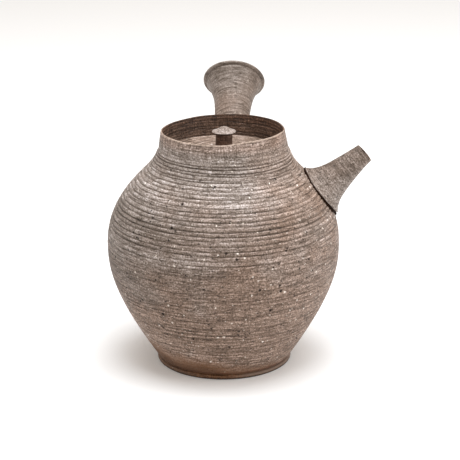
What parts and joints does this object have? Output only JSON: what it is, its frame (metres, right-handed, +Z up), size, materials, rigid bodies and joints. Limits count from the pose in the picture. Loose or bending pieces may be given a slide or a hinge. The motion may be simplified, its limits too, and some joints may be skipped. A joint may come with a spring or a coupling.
{
  "type": "side-handled teapot",
  "caption": "Unglazed stoneware teapot: grooved jar-shaped body, trumpet spout with a strainer, hollow trumpet side handle, sunken lift-off lid with a small knob.",
  "frame": {"origin": "middle of the foot's flat underside, on the axis of the thrown body", "axes": "+Z up along the axis of the body, +X towards the spout, which is turned 1.8 degrees from it towards +Y, +Y towards the handle, which is turned 3.55 degrees from it towards +X"},
  "size_m": [0.1359, 0.1719, 0.1393],
  "materials": {
    "foot_clay": "matt unglazed stoneware, toasted brown",
    "body_clay": "matt unglazed stoneware, grey-brown with feldspar grog and combed throwing lines",
    "inner_clay": "matt unglazed stoneware, dark brown",
    "spout_clay": "matt unglazed stoneware, grey-brown with fine grog",
    "handle_clay": "matt unglazed stoneware, grey-brown with throwing lines",
    "lid_clay": "matt unglazed stoneware, warm beige with turning lines"
  },
  "bodies": {
    "pot": {"foot_slab": "foot_clay", "pot_body": "body_clay", "lid_seat": "inner_clay", "strainer": "inner_clay", "spout": "spout_clay", "handle": "handle_clay"},
    "lid": {"lid_plate": "lid_clay", "lid_flange": "lid_clay", "knob_stem": "lid_clay", "knob_cap": "lid_clay"}
  },
  "joints": [
    {"name": "lid_lift", "type": "slide", "parent": "pot", "child": "lid", "axis": [0, 0, 1], "range_m": [0, 0.05]}
  ]
}
